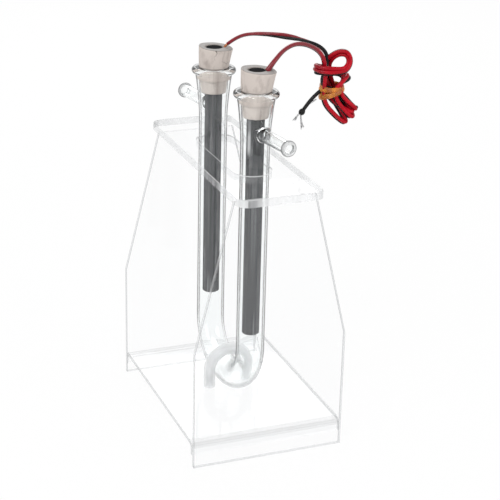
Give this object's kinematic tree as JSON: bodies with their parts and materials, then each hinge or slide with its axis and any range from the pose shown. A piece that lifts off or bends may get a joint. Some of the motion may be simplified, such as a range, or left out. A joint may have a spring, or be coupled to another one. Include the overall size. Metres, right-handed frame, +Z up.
{
  "type": "electrolysis apparatus",
  "caption": "Glass U-tube with side arms in a clear stand, each limb closed by a bored stopper with a graphite rod and a banded twin lead.",
  "frame": {"origin": "on the ground under the middle of the stand", "axes": "+X along the stand towards its near end panel, +Y across it towards the hank of leads, +Z up along the limbs"},
  "size_m": [0.174, 0.1322, 0.2669],
  "materials": {
    "clear_acrylic": "clear polished sheet with brighter sawn edges",
    "clear_glass": "clear blown glass",
    "stopper_rubber": "matt moulded rubber",
    "graphite": "extruded graphite with fine lengthways lines",
    "copper": "bare twisted copper",
    "milky_hose": "translucent soft hose",
    "lead_covering": "red and black twin covering",
    "black_covering": "black soft covering",
    "band_rubber": "amber rubber band",
    "tinned_wire": "bare tinned strands"
  },
  "bodies": {
    "root": {"end_panel_near": "clear_acrylic", "end_panel_far": "clear_acrylic", "base_sheet": "clear_acrylic", "top_plate": "clear_acrylic", "u_tube": "clear_glass", "stopper_near": "stopper_rubber", "stopper_far": "stopper_rubber", "electrode_near": "graphite", "electrode_far": "graphite", "conductor_near": "copper", "conductor_far": "copper", "hose_strap": "milky_hose", "hose_peg_left": "clear_acrylic", "hose_peg_right": "clear_acrylic", "lead_near": "lead_covering", "lead_far": "lead_covering", "lead_hank": "lead_covering", "hank_band": "band_rubber", "lead_tail": "black_covering", "tail_sleeve": "black_covering", "bare_strands": "tinned_wire", "spare_strand": "tinned_wire"}
  },
  "joints": []
}
